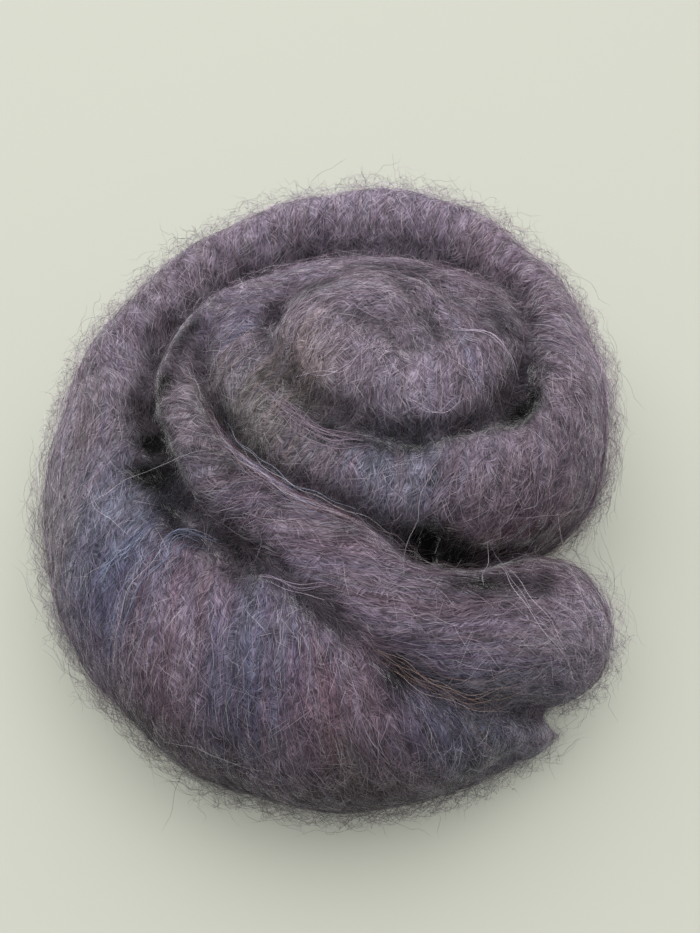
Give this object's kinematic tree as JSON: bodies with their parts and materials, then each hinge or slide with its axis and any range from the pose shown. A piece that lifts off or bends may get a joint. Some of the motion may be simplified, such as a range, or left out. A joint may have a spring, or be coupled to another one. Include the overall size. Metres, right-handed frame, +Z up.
{
  "type": "fiber batt",
  "caption": "Batt of carded fibre rolled lengthwise, doubled and wound into a round nest with a swirl on top, a blunt lobe and a tapered tip; rests on its flat underside.",
  "frame": {"origin": "middle of the flat underside, at the centre of the outline seen from above", "axes": "+Z up; +Y from the thick front of the nest to its back; +X towards the blunt lobe and the tapered tip"},
  "size_m": [0.189, 0.223, 0.0819],
  "materials": {
    "fibre": "matt carded fibre, dusky mauve with slate blue, olive and pink streaks"
  },
  "bodies": {
    "root": {"batt_roll": "fibre"}
  },
  "joints": []
}
